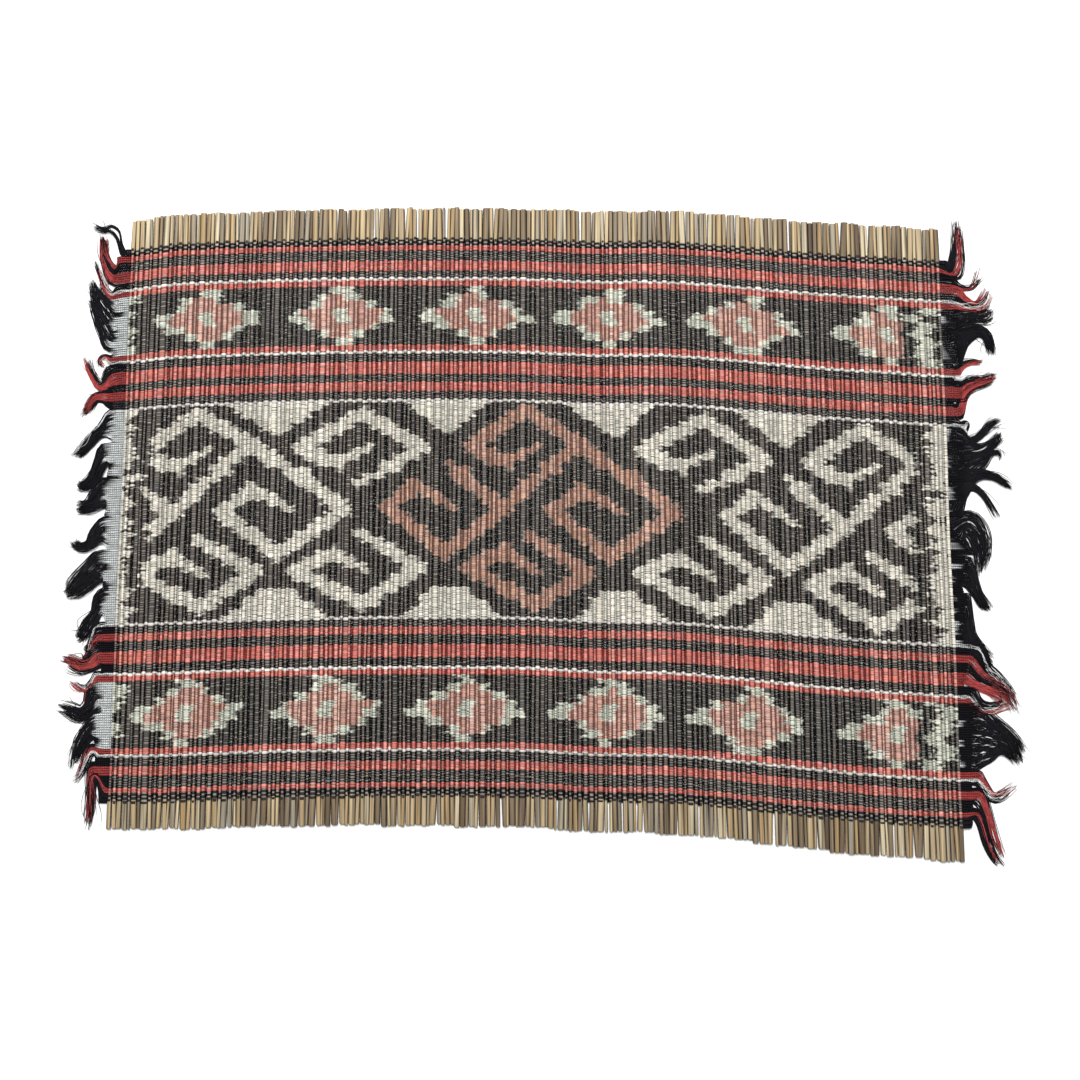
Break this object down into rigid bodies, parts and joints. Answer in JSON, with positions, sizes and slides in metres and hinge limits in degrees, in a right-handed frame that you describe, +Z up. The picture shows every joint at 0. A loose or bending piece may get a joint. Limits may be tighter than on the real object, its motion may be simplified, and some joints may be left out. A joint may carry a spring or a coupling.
{
  "type": "bamboo placemat",
  "caption": "Flat woven placemat of split-bamboo splints and dyed cotton warps, ribbed, with bare splint ends on the long sides and a loose fringe on the short sides.",
  "frame": {"origin": "middle of the mat's outer box, at its underside on the table", "axes": "+X along the warps to the right fringe, +Y along the splints away from the viewer, +Z up"},
  "size_m": [0.506, 0.3532, 0.0024],
  "materials": {
    "warp_cotton": "dyed cotton, dark, red, cream and white, matt",
    "bamboo": "split bamboo, bare, dull",
    "fringe_cotton": "loose cotton warp ends, mostly near black, matt"
  },
  "bodies": {
    "root": {"woven_field": "warp_cotton", "splint_ends_back": "bamboo", "splint_ends_front": "bamboo", "fringe_left": "fringe_cotton", "fringe_right": "fringe_cotton"}
  },
  "joints": []
}
